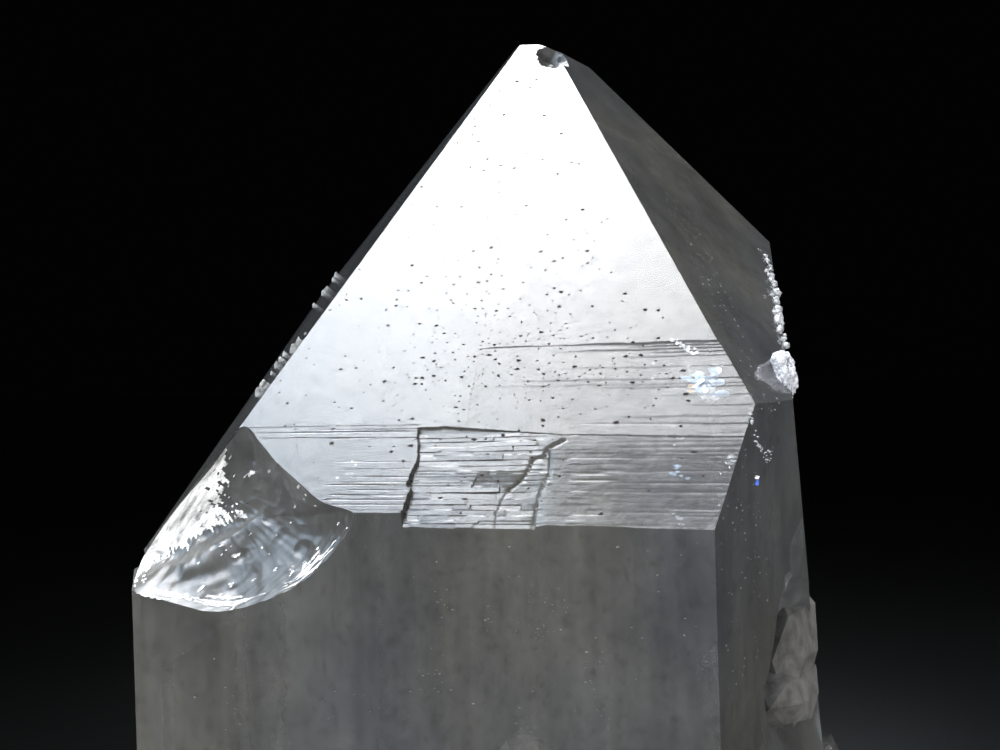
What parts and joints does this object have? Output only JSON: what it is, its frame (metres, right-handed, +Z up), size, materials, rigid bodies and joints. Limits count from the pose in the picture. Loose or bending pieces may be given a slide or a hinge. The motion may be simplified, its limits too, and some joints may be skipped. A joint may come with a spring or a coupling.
{
  "type": "quartz crystal",
  "caption": "Large clear quartz point with a chipped corner and small crystals on its flanks, standing on its flat cut foot.",
  "frame": {"origin": "middle of the flat cut foot, on the surface that the crystal stands on", "axes": "+Z up the crystal's long axis towards its tip, -Y out of the broad bright tip face, +X to the right of that face"},
  "size_m": [0.0712, 0.0726, 0.1031],
  "materials": {
    "quartz": "clear, slightly smoky, glossy natural faces with frosted growths"
  },
  "bodies": {
    "root": {"quartz_crystal": "quartz"}
  },
  "joints": []
}
